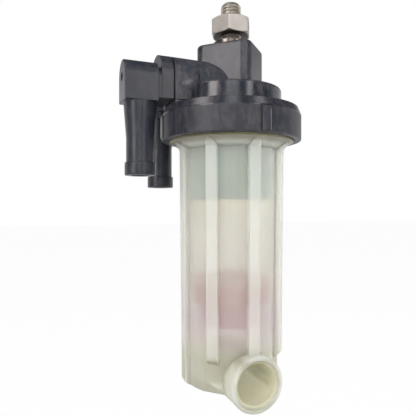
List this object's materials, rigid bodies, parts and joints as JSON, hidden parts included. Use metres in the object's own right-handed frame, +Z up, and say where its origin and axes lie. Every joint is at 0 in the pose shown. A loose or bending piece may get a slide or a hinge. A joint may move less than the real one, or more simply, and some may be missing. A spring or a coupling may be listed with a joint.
{
  "type": "fuel filter assembly",
  "caption": "Hanging fuel filter and water separator: black moulded head on a threaded stud, side hose barbs, locking ring, ribbed translucent cup with sensor port, element and float inside.",
  "frame": {"origin": "Middle of the bracket seat on top of the head, on the axis of the stud.", "axes": "+Z up along the stud and the cup's axis. The sensor port of the cup opens along -Y. The front arm and its hose end run along -X."},
  "size_m": [0.0699, 0.0661, 0.151],
  "materials": {
    "black_plastic": "satin",
    "stainless_steel": "satin",
    "translucent_plastic": "satin translucent",
    "seal_rubber": "matte",
    "element_plastic": "satin",
    "filter_mesh": "matte",
    "red_float": "matte",
    "magnet": "matte"
  },
  "bodies": {
    "head_group": {"head": "black_plastic", "hose_end_front": "black_plastic", "hose_end_rear": "black_plastic", "mounting_stud": "stainless_steel", "mounting_nut": "stainless_steel", "spring_washer": "stainless_steel", "element_top_cap": "element_plastic", "element_bottom_cap": "element_plastic", "element_core": "element_plastic", "element_mesh": "filter_mesh", "element_seal": "seal_rubber"},
    "cup_group": {"cup": "translucent_plastic", "cup_seal": "seal_rubber"},
    "ring_group": {"locking_ring": "black_plastic"},
    "float_group": {"float_ring": "red_float", "float_magnet": "magnet"}
  },
  "joints": [
    {"name": "cup_drop", "type": "slide", "parent": "head_group", "child": "cup_group", "axis": [0, 0, -1], "range_m": [0, 0.006]},
    {"name": "ring_turn", "type": "hinge", "parent": "cup_group", "child": "ring_group", "pos_m": [0, 0, -0.031], "axis": [0, 0, -1], "range_deg": [0, 720]},
    {"name": "float_rise", "type": "slide", "parent": "cup_group", "child": "float_group", "axis": [0, 0, 1], "range_m": [0, 0.0236]}
  ],
  "couplings": [
    {"joint": "ring_turn", "follows": "cup_drop", "rad_per_m": 2094.4}
  ]
}
